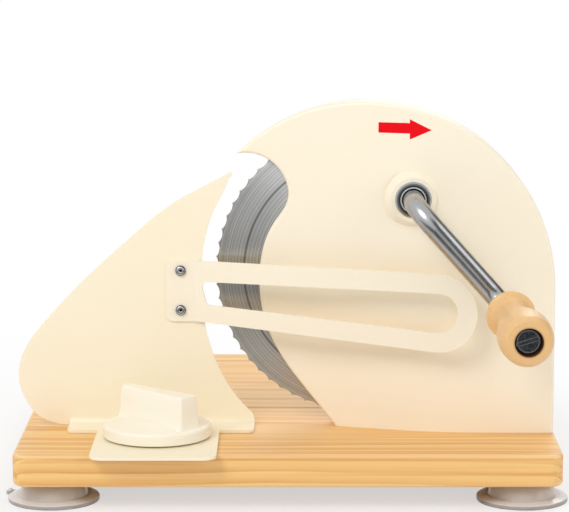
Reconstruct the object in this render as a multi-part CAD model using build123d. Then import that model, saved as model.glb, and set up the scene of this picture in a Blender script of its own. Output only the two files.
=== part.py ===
from build123d import *
import math
import os

os.makedirs("parts", exist_ok=True)

# Bread slicer with crank, in millimetres, +Z up, with the user standing at -Y.
# While it is modelled X is 0 at the middle of the board, Y is 0 at the board's front edge and
# Z is 0 at the board's top. place() then sets it down on Z 0 over the middle of its footprint.

# ---- wooden base and folding feed table ----
board_length = 350.0
base_depth = 138.0
table_depth = 183.0
board_thickness = 21.0
base_corner_radius = 10.0
table_corner_radius = 14.0
board_edge_radius = 2.5

# ---- table hinges ----
hinge_x = 110.0
hinge_width = 42.0
hinge_leaf_length = 24.0
hinge_leaf_thickness = 1.6
hinge_lift = 0.5
hinge_gap = 0.6
knuckle_radius = 2.6
hinge_pin_radius = 1.5
knuckle_play = 0.3
leaf_screw_spacing = 24.0
leaf_screw_radius = 1.6
leaf_screw_head_radius = 3.0
leaf_screw_length = 12.0

# ---- suction cups ----
cup_radius = 29.4
cup_height = 15.0
cup_rim_thickness = 2.2
cup_dome_radius = 19.5
cup_ring_width = 3.2
cup_hollow = 3.2
cup_end_inset = 24.0
cup_edge_inset = 30.0
cup_tab_length = 5.0
cup_tab_width = 8.0
cup_tab_thickness = 1.4
cup_tab_turn = 22.0
cup_stud_radius = 2.5
cup_stud_in_board = 12.0
cup_stud_in_cup = 8.5

# ---- blade and its drive ----
blade_radius = 96.0
blade_x = 47.7
blade_z = 101.9
blade_thickness = 1.2
blade_edge_thickness = 0.4
blade_bevel_width = 18.5
blade_teeth = 64
tooth_depth = 1.6
gear_module = 2.0
crank_gear_teeth = 41
blade_gear_teeth = 21
gear_width = 5.0
gear_backlash = 0.24
gear_line_angle = 57.4
axle_radius = 6.0
axle_flange_radius = 12.0
axle_flange_thickness = 1.2
pilot_radius = 5.0
blade_washer_radius = 15.0
blade_washer_thickness = 1.2
blade_screw_radius = 2.5
blade_screw_length = 11.0
blade_screw_head_radius = 8.0
blade_screw_head_height = 2.6
bush_wall = 3.0
bush_flange_width = 3.0
bush_flange_thickness = 1.5
clip_thickness = 1.0
clip_width = 3.0

# ---- housing ----
housing_radius = 121.5
housing_end_margin = 1.0
housing_center_z = 95.0
housing_wall = 2.5
housing_rear_y = 97.0
housing_front_y = 62.0
housing_crown = 1.2
housing_ramp_y = 66.0
lead_edge_y = 93.0
housing_edge_radius = 2.0
back_plate_thickness = 2.5
blade_gap = 1.5
hub_boss_radius = 18.5
hub_boss_height = 5.0
hub_boss_draft = 4.0
cover_screw_radius = 1.5
cover_screw_length = 9.0
cover_screw_head_radius = 3.0
cover_screw_head_height = 1.8
cover_boss_radius = 4.5
foot_screw_radius = 2.0
foot_screw_head_radius = 4.0
foot_screw_head_height = 2.6
foot_screw_length = 22.0
foot_boss_radius = 5.0
foot_boss_height = 13.0
foot_counterbore_depth = 9.0

# ---- crank ----
rod_radius = 6.75
crank_throw = 87.8
crank_angle = -48.3
crank_arm_y = 29.0
crank_bend_radius = 18.0
pin_lean = 2.3
crank_bush_length = 13.0
crank_bush_proud = 1.2
crank_bush_wall = 5.1
grip_length = 90.0
grip_start_y = 9.7
grip_collar_radius = 15.6
grip_collar_width = 4.2
grip_neck_radius = 10.2
grip_belly_radius = 16.8
grip_end_radius = 12.8
grip_pin_radius = 4.0
grip_counterbore_radius = 8.6
grip_counterbore_depth = 8.6
grip_washer_radius = 7.2
grip_washer_thickness = 1.0
grip_screw_radius = 2.5
grip_screw_length = 12.0
grip_screw_head_radius = 7.6
grip_screw_head_height = 3.0
screw_slot_width = 1.6
screw_slot_depth = 1.2

# ---- thickness plate ----
plate_thickness = 2.0
plate_face_y = 85.0
plate_travel_front = 2.0
plate_travel_back = 9.5
plate_bend_radius = 3.0
foot_left_x = -145.0
foot_right_x = -22.5
foot_front_y = 61.0
tab_front_y = -14.0
tab_width = 80.0
tab_corner_radius = 8.0

# ---- slice guard ----
guard_thickness = 1.5
guard_bend_x = -61.0
guard_bend_angle = 12.0
guard_root_length = 19.0
guard_top_z = 111.0
guard_bottom_z = 70.5
guard_end_s = 161.7
guard_end_z = 82.0
guard_end_radius = 25.8
guard_slot_radius = 13.0
guard_slot_root = ((8.6, 93.2), (10.6, 85.4))
guard_slot_root_radius = 3.8
guard_corner_radius = 4.0
guard_screw_x = -70.8
guard_screw_z = (78.0, 104.4)
guard_screw_radius = 2.0
guard_screw_head_radius = 3.4
guard_screw_head_height = 2.0
guard_nut_radius = 3.8

# ---- clamp knob ----
knob_x = -85.0
knob_y = 44.5
knob_radius = 35.0
knob_disc_height = 8.0
knob_dome_height = 3.0
knob_height = 29.5
wing_length = 57.0
wing_tail_width = 7.0
wing_nose_width = 14.0
wing_flare = 9.0
wing_flare_height = 6.0
wing_angle = -42.0
wing_edge_radius = 1.5
stud_radius = 3.0
stud_head_radius = 8.0
stud_head_height = 3.0
stud_in_knob = 20.0
clamp_washer_radius = 12.0
clamp_washer_thickness = 0.8
guide_width = 9.6
guide_length = 22.0
guide_height = 1.9

# ---- clearances ----
running_fit = 0.05
seat_fit = 0.03
screw_fit = 0.05
moving_gap = 0.3
sliding_gap = 0.2
face_gap = 0.1

# ---- places worked out from the sizes above ----
back_plate_front_y = housing_rear_y - back_plate_thickness
blade_front_y = housing_rear_y + blade_gap
blade_rear_y = blade_front_y + blade_thickness
plate_rear_y = plate_face_y + plate_thickness
gear_rear_y = back_plate_front_y - bush_flange_thickness - moving_gap
gear_front_y = gear_rear_y - gear_width
gear_distance = gear_module * (crank_gear_teeth + blade_gear_teeth) / 2
hub_x = blade_x + gear_distance * math.cos(math.radians(gear_line_angle))
hub_z = blade_z + gear_distance * math.sin(math.radians(gear_line_angle))
handle_x = hub_x + crank_throw * math.cos(math.radians(crank_angle))
handle_z = hub_z + crank_throw * math.sin(math.radians(crank_angle))
housing_right_x = board_length / 2 - housing_end_margin
housing_center_x = housing_right_x - housing_radius
hinge_y = base_depth + hinge_gap / 2
table_front_y = base_depth + hinge_gap
table_rear_y = table_front_y + table_depth
cup_x = board_length / 2 - cup_end_inset
guard_angle = math.radians(guard_bend_angle)
pin_end_y = grip_start_y - grip_length + grip_counterbore_depth - moving_gap

LOW = (Align.CENTER, Align.CENTER, Align.MIN)


def slab(sketch, y_front, y_back):
    """A flat outline drawn in X and Z, made solid from y_front to y_back."""
    return extrude(Plane.XZ.offset(-y_back) * sketch, y_back - y_front)


def round_bar(x, z, y_front, y_back, radius):
    """A cylinder that runs along Y."""
    return Pos(x, y_front, z) * Rot(-90, 0, 0) * Cylinder(radius, y_back - y_front, align=LOW)


def sleeve(x, z, y_front, y_back, outer, inner):
    """A tube that runs along Y."""
    return round_bar(x, z, y_front, y_back, outer) - round_bar(x, z, y_front, y_back, inner)


def upright(x, y, z_low, z_high, radius):
    """A cylinder that stands on Z."""
    return Pos(x, y, z_low) * Cylinder(radius, z_high - z_low, align=LOW)


# ---- wooden boards ----
def base_cup_places():
    rear_y = base_depth - cup_edge_inset
    return {
        "cup_front_left": (-cup_x, cup_edge_inset, 180 - cup_tab_turn),
        "cup_front_right": (cup_x, cup_edge_inset, 90),
        "cup_rear_left": (-cup_x, rear_y, -90),
        "cup_rear_right": (cup_x, rear_y, -cup_tab_turn),
    }


def table_cup_places():
    y = table_rear_y - cup_edge_inset
    return {
        "table_cup_left": (-cup_x, y, -90),
        "table_cup_right": (cup_x, y, -90),
    }


def foot_screw_places():
    return [(62.0, 85.0), (106.0, 80.0), (150.0, 80.0)]


def hinge_cut(side):
    """Pockets for the hinge leaves and a groove for the knuckles; side is -1 base, 1 table."""
    cut = None
    for x in (-hinge_x, hinge_x):
        pocket = Pos(x, hinge_y + side * hinge_leaf_length / 2, -hinge_leaf_thickness / 2) * Box(
            hinge_width + 2 * screw_fit, hinge_leaf_length + 2 * screw_fit, hinge_leaf_thickness)
        groove = Pos(x, hinge_y, hinge_lift) * Rot(0, 90, 0) * Cylinder(
            knuckle_radius + knuckle_play, hinge_width + 2 * knuckle_play)
        cut = pocket + groove if cut is None else cut + pocket + groove
        for px, py in leaf_screw_places(x, side):
            cut += upright(px, py, -leaf_screw_length - 1, 0, leaf_screw_radius + screw_fit)
            cut += Pos(px, py, -leaf_screw_head_radius) * Cone(
                0.01, leaf_screw_head_radius + screw_fit, leaf_screw_head_radius, align=LOW)
    return cut


def leaf_screw_places(x, side):
    y = hinge_y + side * hinge_leaf_length * 0.58
    return [(x - leaf_screw_spacing / 2, y), (x + leaf_screw_spacing / 2, y)]


def base_board():
    board = Pos(0, base_depth / 2, -board_thickness / 2) * Box(board_length, base_depth, board_thickness)
    corners = board.edges().filter_by(Axis.Z).sort_by(Axis.Y)[:2]
    board = fillet(corners, base_corner_radius)
    top = board.faces().sort_by(Axis.Z)[-1]
    bottom = board.faces().sort_by(Axis.Z)[0]
    board = fillet(top.edges() + bottom.edges(), board_edge_radius)
    board -= hinge_cut(-1)
    for x, y, turn in base_cup_places().values():
        board -= upright(x, y, -board_thickness - 1, -board_thickness + cup_stud_in_board + screw_fit,
                         cup_stud_radius + screw_fit)
    for x, y in foot_screw_places():
        board -= upright(x, y, -board_thickness, 0, foot_screw_radius + running_fit)
        board -= upright(x, y, -board_thickness, -board_thickness + foot_counterbore_depth,
                         foot_screw_head_radius + moving_gap)
    board -= upright(knob_x, knob_y, -board_thickness, 0, stud_radius + running_fit)
    board -= upright(knob_x, knob_y, -board_thickness, -board_thickness + stud_head_height + face_gap,
                     stud_head_radius + moving_gap)
    return board


def feed_table():
    mid_y = table_front_y + table_depth / 2
    board = Pos(0, mid_y, -board_thickness / 2) * Box(board_length, table_depth, board_thickness)
    corners = board.edges().filter_by(Axis.Z).sort_by(Axis.Y)[-2:]
    board = fillet(corners, table_corner_radius)
    top = board.faces().sort_by(Axis.Z)[-1]
    bottom = board.faces().sort_by(Axis.Z)[0]
    board = fillet(top.edges() + bottom.edges(), board_edge_radius)
    board -= hinge_cut(1)
    for x, y, turn in table_cup_places().values():
        board -= upright(x, y, -board_thickness - 1, -board_thickness + cup_stud_in_board + screw_fit,
                         cup_stud_radius + screw_fit)
    return board


# ---- hinges: two knuckles on the base leaf, one between them on the table leaf ----
def hinge_leaf(x, side):
    knuckle = hinge_width / 3
    y = hinge_y + side * hinge_leaf_length / 2
    leaf = Pos(x, y, -hinge_leaf_thickness / 2) * Box(hinge_width, hinge_leaf_length, hinge_leaf_thickness)
    starts = [-1] if side > 0 else [-3, 1]
    keep = None
    for start in starts:
        length = knuckle - (2 * knuckle_play if side > 0 else knuckle_play)
        offset = x + start * knuckle / 2 + (knuckle_play if start > -3 else 0)
        piece = Pos(offset, hinge_y, hinge_lift) * Rot(0, 90, 0) * Cylinder(knuckle_radius, length, align=LOW)
        keep = piece if keep is None else keep + piece
    gap_start = [-3, 1] if side > 0 else [-1]
    for start in gap_start:
        reach = knuckle_radius + knuckle_play
        leaf -= Pos(x + start * knuckle / 2 - (knuckle_play if side < 0 else 1), hinge_y - reach,
                    -hinge_leaf_thickness - 1) * Box(
            knuckle + (2 * knuckle_play if side < 0 else 1 + knuckle_play), 2 * reach,
            hinge_leaf_thickness + 2, align=(Align.MIN, Align.MIN, Align.MIN))
    leaf += keep
    leaf -= Pos(x, hinge_y, hinge_lift) * Rot(0, 90, 0) * Cylinder(hinge_pin_radius + running_fit, hinge_width + 2)
    for px, py in leaf_screw_places(x, side):
        leaf -= upright(px, py, -hinge_leaf_thickness - 1, 1, leaf_screw_radius + screw_fit)
        leaf -= Pos(px, py, -leaf_screw_head_radius) * Cone(
            0.01, leaf_screw_head_radius + screw_fit, leaf_screw_head_radius, align=LOW)
    return leaf


def hinge_pin(x):
    return Pos(x, hinge_y, hinge_lift) * Rot(0, 90, 0) * Cylinder(hinge_pin_radius, hinge_width)


def leaf_screw(x, y):
    shank = upright(x, y, -leaf_screw_length, -leaf_screw_head_radius / 2, leaf_screw_radius)
    head = Pos(x, y, -leaf_screw_head_radius) * Cone(0.01, leaf_screw_head_radius, leaf_screw_head_radius, align=LOW)
    slot = Pos(x, y, 0) * Rot(0, 0, 35) * Box(2 * leaf_screw_head_radius, 0.8, 1.2)
    return shank + head - slot


# ---- suction cups ----
def suction_cup(x, y, turn):
    dome = cup_dome_radius
    rim = cup_rim_thickness
    with BuildPart() as cup:
        with BuildSketch(Plane.XZ):
            with BuildLine():
                ThreePointArc((0, cup_hollow), (dome * 0.6, cup_hollow * 0.8), (cup_radius - cup_ring_width, 0))
                Line((cup_radius - cup_ring_width, 0), (cup_radius - 0.3, 0))
                Line((cup_radius - 0.3, 0), (cup_radius, 0.4))
                Line((cup_radius, 0.4), (cup_radius - 0.2, rim - 0.4))
                Line((cup_radius - 0.2, rim - 0.4), (cup_radius - 0.8, rim))
                Spline((cup_radius - 0.8, rim), (dome + 4.6, rim + 2.0), (dome + 1.2, rim + 4.2),
                       (dome, cup_height * 0.62))
                Spline((dome, cup_height * 0.62), (dome - 1.2, cup_height - 2.0), (dome - 4.0, cup_height),
                       tangents=((0, 1), (-1, 0.15)))
                Line((dome - 4.0, cup_height), (0, cup_height))
                Line((0, cup_height), (0, cup_hollow))
            make_face()
        revolve(axis=Axis.Z)
    body = cup.part
    reach = cup_radius + cup_tab_length - cup_tab_width / 2
    tab = Pos(reach / 2 + cup_radius / 2 - 1, 0, 0) * Box(
        reach - cup_radius + 2, cup_tab_width, cup_tab_thickness, align=LOW)
    tab += Pos(reach, 0, 0) * Cylinder(cup_tab_width / 2, cup_tab_thickness, align=LOW)
    body += Pos(0, 0, rim - cup_tab_thickness - 0.3) * tab
    body -= upright(0, 0, cup_height - cup_stud_in_cup - screw_fit, cup_height + 1, cup_stud_radius + screw_fit)
    return Pos(x, y, -board_thickness - cup_height) * Rot(0, 0, turn) * body


def cup_stud(x, y):
    return upright(x, y, -board_thickness - cup_stud_in_cup, -board_thickness + cup_stud_in_board, cup_stud_radius)


# ---- housing: a bowed shell with a hooked cut-out for the loaf, closed by a flat back plate ----
def arc_point(radius, degrees):
    angle = math.radians(degrees)
    return (housing_center_x + radius * math.cos(angle), housing_center_z + radius * math.sin(angle))


def housing_outline(grow=0.0):
    """The outline seen from the front: straight right side, round top, hook and leading edge."""
    radius = housing_radius + grow
    right = housing_center_x + radius
    tip = arc_point(radius, 135.4)
    throat = (0.0 - grow, 157.0)
    with BuildSketch() as sketch:
        with BuildLine():
            Line((31.0 - grow, -grow), (right, -grow))
            Line((right, -grow), (right, housing_center_z))
            ThreePointArc((right, housing_center_z), arc_point(radius, 70), tip)
            ThreePointArc(tip, (-7.5, 172.3), throat)
            Spline(throat, (-9.9 - grow, 134.0), (-19.0 - grow, 103.0), (-13.0 - grow, 62.0),
                   (31.0 - grow, -grow), tangents=((0.1, -1), (0.6, -0.8)))
        make_face()
    return sketch.sketch


def cavity_outline(shrink=0.0):
    """The hollow inside the shell: it stays clear of the hook and of the leading edge."""
    radius = housing_radius - housing_wall - shrink
    right = housing_center_x + radius
    low = housing_wall + shrink
    top = arc_point(radius, 112.0)
    with BuildSketch() as sketch:
        with BuildLine():
            Line((42.0 + shrink, low), (right, low))
            Line((right, low), (right, housing_center_z))
            ThreePointArc((right, housing_center_z), arc_point(radius, 60), top)
            Line(top, (9.0 + shrink, 165.0 - shrink))
            Line((9.0 + shrink, 165.0 - shrink), (-10.0 + shrink, 110.0))
            Line((-10.0 + shrink, 110.0), (-6.0 + shrink, 70.0))
            Line((-6.0 + shrink, 70.0), (42.0 + shrink, low))
        make_face()
    return sketch.sketch


def front_block(push):
    """Everything behind the bowed face. push moves the face back, to leave a wall."""
    left = -60.0
    right = board_length / 2 + 20
    rear = housing_rear_y + 20
    ramp_middle = (lead_edge_y + housing_ramp_y) / 2 + 2.2
    with BuildSketch() as plan:
        with BuildLine():
            Spline((left, lead_edge_y + 3 + push), (-19.0, lead_edge_y + push), (35.0, ramp_middle + push),
                   (93.0, housing_ramp_y + push), (126.0, housing_front_y + housing_crown + push),
                   (right, housing_front_y + push))
            Line((right, housing_front_y + push), (right, rear))
            Line((right, rear), (left, rear))
            Line((left, rear), (left, lead_edge_y + 3 + push))
        make_face()
    top = housing_center_z + housing_radius + 10
    return Pos(0, 0, -10) * extrude(plan.sketch, top + 10)


def cover_screw_places():
    radius = housing_radius - 9.0
    places = [arc_point(radius, angle) for angle in (8, 40, 72, 104)]
    return places + [(84.0, 13.0), (housing_right_x - 9.0, 13.0)]


def housing_shell():
    block = slab(housing_outline(), housing_front_y - 5, housing_rear_y) & front_block(0.0)
    front_edges = [edge for edge in block.edges() if edge.center().Z > 1.0 and not along_y(edge)
                   and edge.bounding_box().max.Y < housing_rear_y - 0.5]
    block = fillet(front_edges, housing_edge_radius)
    hollow = slab(cavity_outline(), housing_front_y - 5, housing_rear_y + 1)
    shell = block - (hollow & front_block(housing_wall))
    boss_front = hub_face_y() - hub_boss_height
    boss_rear = boss_front + crank_bush_length
    shell += Pos(hub_x, boss_front, hub_z) * Rot(-90, 0, 0) * Cone(
        hub_boss_radius - hub_boss_draft, hub_boss_radius, hub_boss_height + 2, align=LOW)
    shell += round_bar(hub_x, hub_z, hub_face_y(), boss_rear, hub_boss_radius - 3)
    for x, z in cover_screw_places():
        shell += round_bar(x, z, housing_front_y, back_plate_front_y, cover_boss_radius) & block
        shell -= round_bar(x, z, back_plate_front_y - cover_screw_length, back_plate_front_y + 1,
                           cover_screw_radius + screw_fit)
    for x, y in foot_screw_places():
        shell += upright(x, y, 0.5, foot_boss_height, foot_boss_radius)
        shell -= upright(x, y, -1, foot_boss_height - 1.5, foot_screw_radius + screw_fit)
    shell -= round_bar(hub_x, hub_z, boss_front - 5, back_plate_front_y, rod_radius + crank_bush_wall + seat_fit)
    return shell


def along_y(edge):
    start = edge @ 0
    end = edge @ 1
    return abs(start.X - end.X) < 0.01 and abs(start.Z - end.Z) < 0.01


def hub_face_y():
    """Where the bowed face stands at the crank hub."""
    probe = round_bar(hub_x, hub_z, housing_front_y - 5, housing_rear_y, 0.5) & front_block(0.0)
    return probe.bounding_box().min.Y


def back_plate():
    plate = slab(cavity_outline(face_gap), back_plate_front_y, housing_rear_y)
    for x, z, shaft in ((blade_x, blade_z, axle_radius), (hub_x, hub_z, rod_radius)):
        plate -= round_bar(x, z, back_plate_front_y - 1, housing_rear_y + 1, shaft + bush_wall + seat_fit)
    for x, z in cover_screw_places():
        plate -= round_bar(x, z, back_plate_front_y - 1, housing_rear_y + 1, cover_screw_radius + screw_fit)
        plate -= round_bar(x, z, housing_rear_y - cover_screw_head_height, housing_rear_y + 1,
                           cover_screw_head_radius + screw_fit)
    return plate


def cover_screw(x, z):
    head_front = housing_rear_y - cover_screw_head_height
    shank = round_bar(x, z, back_plate_front_y - cover_screw_length + 0.5, head_front, cover_screw_radius)
    head = round_bar(x, z, head_front, housing_rear_y, cover_screw_head_radius)
    slot = Pos(x, housing_rear_y, z) * Rot(0, 40, 0) * Box(2 * cover_screw_head_radius + 1, 1.6, 0.8)
    return shank + head - slot


def foot_screw(x, y):
    seat = -board_thickness + foot_counterbore_depth
    head = upright(x, y, seat - foot_screw_head_height, seat, foot_screw_head_radius)
    shank = upright(x, y, seat, seat + foot_screw_length - 1, foot_screw_radius)
    slot = Pos(x, y, seat - foot_screw_head_height) * Rot(0, 0, 50) * Box(2 * foot_screw_head_radius, 1.0, 1.6)
    return head + shank - slot


# ---- blade: a bevelled disc with scalloped teeth ----
def slicing_blade():
    step = 2 * math.pi / blade_teeth
    with BuildSketch() as outline:
        with BuildLine():
            for index in range(blade_teeth):
                start = index * step
                valley = blade_radius - tooth_depth
                first = (blade_radius * math.cos(start), blade_radius * math.sin(start))
                middle = (valley * math.cos(start + step / 2), valley * math.sin(start + step / 2))
                last = (blade_radius * math.cos(start + step), blade_radius * math.sin(start + step))
                ThreePointArc(first, middle, last)
        make_face()
    with BuildPart() as body:
        with BuildSketch(Plane.XZ):
            with BuildLine():
                flat = blade_radius - blade_bevel_width
                Polyline((pilot_radius + seat_fit, 0), (blade_radius + 1, 0), (blade_radius + 1, blade_edge_thickness),
                         (blade_radius, blade_edge_thickness), (flat, blade_thickness),
                         (pilot_radius + seat_fit, blade_thickness), (pilot_radius + seat_fit, 0))
            make_face()
        revolve(axis=Axis.Z)
    disc = extrude(outline.sketch, blade_thickness + 1) & body.part
    return Pos(blade_x, blade_rear_y, blade_z) * Rot(90, 0, 0) * disc


# ---- gears ----
def gear_outline(teeth):
    """A spur gear with 20 degree flanks, one tooth centred on the first axis."""
    pressure = math.radians(20)
    pitch = gear_module * teeth / 2
    base = pitch * math.cos(pressure)
    root = pitch - 1.25 * gear_module
    tip = pitch + gear_module
    half_at_pitch = math.pi / (2 * teeth) - gear_backlash / (2 * pitch)
    flank = []
    for radius in (max(base, root + 0.3), pitch, tip):
        roll = math.acos(base / radius)
        half = half_at_pitch + (math.tan(pressure) - pressure) - (math.tan(roll) - roll)
        flank.append((radius, half))
    points = []
    for index in range(teeth):
        middle = 2 * math.pi * index / teeth
        tooth = [(root, -flank[0][1])] + [(r, -h) for r, h in flank] + [(r, h) for r, h in reversed(flank)]
        tooth += [(root, flank[0][1])]
        for radius, offset in tooth:
            points.append((radius * math.cos(middle + offset), radius * math.sin(middle + offset)))
    return make_face(Polyline(*points, close=True))


def gear(teeth, x, z, turn, bore):
    body = slab(Rot(0, 0, turn) * gear_outline(teeth), gear_front_y, gear_rear_y)
    return Pos(x, 0, z) * body - round_bar(x, z, gear_front_y - 1, gear_rear_y + 1, bore)


def crank_gear():
    turn = gear_line_angle + 180 + 180 / crank_gear_teeth
    wheel = gear(crank_gear_teeth, hub_x, hub_z, turn, rod_radius + seat_fit)
    for index in range(5):
        angle = math.radians(72 * index + 20)
        wheel -= round_bar(hub_x + 23 * math.cos(angle), hub_z + 23 * math.sin(angle),
                           gear_front_y - 1, gear_rear_y + 1, 8.0)
    return wheel


def blade_gear():
    return gear(blade_gear_teeth, blade_x, blade_z, gear_line_angle, axle_radius + seat_fit)


# ---- axle, bushes and clips ----
def flanged_bush(x, z, shaft):
    outer = shaft + bush_wall
    front = back_plate_front_y - bush_flange_thickness
    bush = sleeve(x, z, front, housing_rear_y, outer, shaft + running_fit)
    return bush + sleeve(x, z, front, back_plate_front_y, outer + bush_flange_width, shaft + running_fit)


def blade_axle():
    flange_front = blade_front_y - axle_flange_thickness
    front = gear_front_y - clip_thickness - 1.2
    axle = round_bar(blade_x, blade_z, front, flange_front, axle_radius)
    axle += round_bar(blade_x, blade_z, flange_front, blade_front_y, axle_flange_radius)
    axle += round_bar(blade_x, blade_z, blade_front_y, blade_rear_y, pilot_radius)
    axle -= round_bar(blade_x, blade_z, blade_rear_y - blade_screw_length, blade_rear_y + 1,
                      blade_screw_radius + screw_fit)
    axle -= clip_groove(blade_x, blade_z, gear_front_y - clip_thickness, axle_radius)
    return axle


def clip_groove(x, z, y, shaft):
    return sleeve(x, z, y, y + clip_thickness, shaft + 1, shaft - 1)


def clip(x, z, y, shaft):
    """An open retaining ring in its groove."""
    ring = sleeve(x, z, y + seat_fit, y + clip_thickness - seat_fit, shaft + clip_width, shaft - 1 + seat_fit)
    return ring - Pos(x, y + clip_thickness / 2, z + shaft + 1) * Box(shaft, clip_thickness + 1, 2 * shaft)


def blade_washer():
    rear = blade_rear_y + blade_washer_thickness
    washer = sleeve(blade_x, blade_z, blade_rear_y, rear, blade_washer_radius, blade_screw_radius + screw_fit)
    rim = washer.edges().filter_by(GeomType.CIRCLE).sort_by(Axis.Y)[-2:].sort_by(SortBy.RADIUS)[-1]
    return chamfer(rim, 0.5)


def slotted_head(x, z, y_seat, direction, radius, height, turn):
    """A raised round head with a coin slot; direction is the way that it faces along Y."""
    low = min(y_seat, y_seat + direction * height)
    head = round_bar(x, z, low, low + height, radius)
    circles = head.edges().filter_by(GeomType.CIRCLE).sort_by(Axis.Y)
    head = chamfer(circles[-1] if direction > 0 else circles[0], 0.6)
    slot = Pos(x, y_seat + direction * height, z) * Rot(0, turn, 0) * Box(
        2 * radius + 1, 2 * screw_slot_depth, screw_slot_width)
    return head - slot


def blade_screw():
    seat = blade_rear_y + blade_washer_thickness
    shank = round_bar(blade_x, blade_z, blade_rear_y - blade_screw_length + 0.5, seat, blade_screw_radius)
    return slotted_head(blade_x, blade_z, seat, 1, blade_screw_head_radius, blade_screw_head_height, 30) + shank


# ---- crank ----
def crank_bush():
    front = hub_face_y() - hub_boss_height - crank_bush_proud
    outer = rod_radius + crank_bush_wall
    bush = sleeve(hub_x, hub_z, front, front + crank_bush_length, outer, rod_radius + running_fit)
    rim = bush.edges().filter_by(GeomType.CIRCLE).sort_by(Axis.Y)[:2]
    return chamfer(rim, 1.0)


def crank_clip_y():
    return hub_face_y() - hub_boss_height - crank_bush_proud + crank_bush_length + moving_gap


def lean(shape):
    """Turns what sits on the crank pin, because the pin is bent a little less than square."""
    pivot = Pos(handle_x, crank_arm_y, handle_z)
    return pivot * Rot(0, 0, pin_lean) * pivot.inverse() * shape


def crank_rod():
    shaft_end = (hub_x, housing_rear_y, hub_z)
    elbow = (hub_x, crank_arm_y, hub_z)
    turn = (handle_x, crank_arm_y, handle_z)
    shoulder = crank_arm_y - grip_start_y - moving_gap
    pin_start = (handle_x + shoulder * math.sin(math.radians(pin_lean)),
                 crank_arm_y - shoulder * math.cos(math.radians(pin_lean)), handle_z)
    path = FilletPolyline(shaft_end, elbow, turn, pin_start, radius=crank_bend_radius)
    section = Plane(origin=shaft_end, z_dir=(0, -1, 0)) * Circle(rod_radius)
    rod = sweep(section, path=path)
    rod += lean(round_bar(handle_x, handle_z, pin_end_y, grip_start_y + moving_gap + 0.5, grip_pin_radius))
    rod -= lean(round_bar(handle_x, handle_z, pin_end_y - 1, pin_end_y + grip_screw_length,
                          grip_screw_radius + screw_fit))
    rod -= clip_groove(hub_x, hub_z, crank_clip_y(), rod_radius)
    return rod


def handle_grip():
    """A turned wooden grip: thin collar, waisted neck, full belly and a counterbored end."""
    end = grip_length
    collar = grip_collar_radius
    belly = grip_belly_radius
    with BuildPart() as grip:
        with BuildSketch(Plane.XZ):
            with BuildLine():
                Line((0, 0), (collar - 1.4, 0))
                ThreePointArc((collar - 1.4, 0), (collar, grip_collar_width * 0.42), (collar - 1.6, grip_collar_width))
                Spline((collar - 1.6, grip_collar_width), (collar - 4.0, end * 0.085),
                       (grip_neck_radius + 0.3, end * 0.16), (grip_neck_radius + 0.8, end * 0.32),
                       (belly - 3.2, end * 0.50), (belly - 0.8, end * 0.66), (belly, end * 0.78),
                       (belly - 0.7, end * 0.90))
                ThreePointArc((belly - 0.7, end * 0.90), (belly - 1.8, end * 0.965), (grip_end_radius, end))
                Line((grip_end_radius, end), (0, end))
                Line((0, end), (0, 0))
            make_face()
        revolve(axis=Axis.Z)
    body = Pos(handle_x, grip_start_y, handle_z) * Rot(90, 0, 0) * grip.part
    grip_end_y = grip_start_y - grip_length
    body -= round_bar(handle_x, handle_z, grip_end_y - 1, grip_start_y + 1, grip_pin_radius + running_fit)
    body -= round_bar(handle_x, handle_z, grip_end_y - 1, grip_end_y + grip_counterbore_depth,
                      grip_counterbore_radius)
    return lean(body)


def grip_washer():
    return lean(sleeve(handle_x, handle_z, pin_end_y - grip_washer_thickness, pin_end_y, grip_washer_radius,
                       grip_screw_radius + screw_fit))


def grip_screw():
    seat = pin_end_y - grip_washer_thickness
    shank = round_bar(handle_x, handle_z, seat, pin_end_y + grip_screw_length - 0.5, grip_screw_radius)
    head = slotted_head(handle_x, handle_z, seat, -1, grip_screw_head_radius, grip_screw_head_height, -17)
    return lean(head + shank)


# ---- thickness plate: bent sheet with a fin-shaped face and, as a node of its own, its foot ----
def plate_outline():
    tip = (-37.4, 169.4)
    with BuildSketch() as sketch:
        with BuildLine():
            Line((foot_left_x - 2.4, 0), (foot_right_x, 0))
            Line((foot_right_x, 0), (foot_right_x, 4.0))
            ThreePointArc((foot_right_x, 4.0), (foot_right_x - 1.2, 7.4), (foot_right_x - 3.6, 10.0))
            Spline((foot_right_x - 3.6, 10.0), (-45.6, 37.8), (-54.6, 66.0), (-57.3, 95.0), (-55.4, 121.0),
                   (-49.6, 142.0), (-38.6, 165.4), tangents=((-0.72, 0.7), (0.36, 0.93)))
            ThreePointArc((-38.6, 165.4), (-36.6, 168.2), tip)
            Spline(tip, (-73.9, 149.7), (-107.0, 123.0), (-136.0, 96.5), (-160.9, 69.7), (-175.6, 48.5),
                   (-178.6, 31.0), (-171.5, 12.5), (foot_left_x - 2.4, 0), tangents=((-0.83, -0.5), (1, -0.12)))
        make_face()
    return sketch.sketch


def thickness_plate():
    """The fin, with the bend at its lower edge that leads forward into the foot."""
    corner = Align.MIN
    outer = plate_bend_radius + plate_thickness
    bend_y = plate_rear_y - outer
    bend_z = sliding_gap + outer
    width = foot_right_x - foot_left_x
    fin = Pos(0, 0, sliding_gap) * slab(plate_outline(), plate_face_y, plate_rear_y)
    fin -= Pos(foot_left_x, plate_face_y - 1, 0) * Box(width + 1, plate_thickness + 2, bend_z,
                                                       align=(corner, corner, corner))
    turn = Pos(foot_left_x + width / 2, bend_y, bend_z) * Rot(0, 90, 0) * (
        Cylinder(outer, width) - Cylinder(plate_bend_radius, width))
    turn &= Pos(foot_left_x, bend_y, 0) * Box(width, outer, bend_z, align=(corner, corner, corner))
    fin += turn
    for screw_z in guard_screw_z:
        fin -= round_bar(guard_screw_x, screw_z, plate_face_y - 1, plate_rear_y + 1, guard_nut_radius + seat_fit)
    return fin


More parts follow.
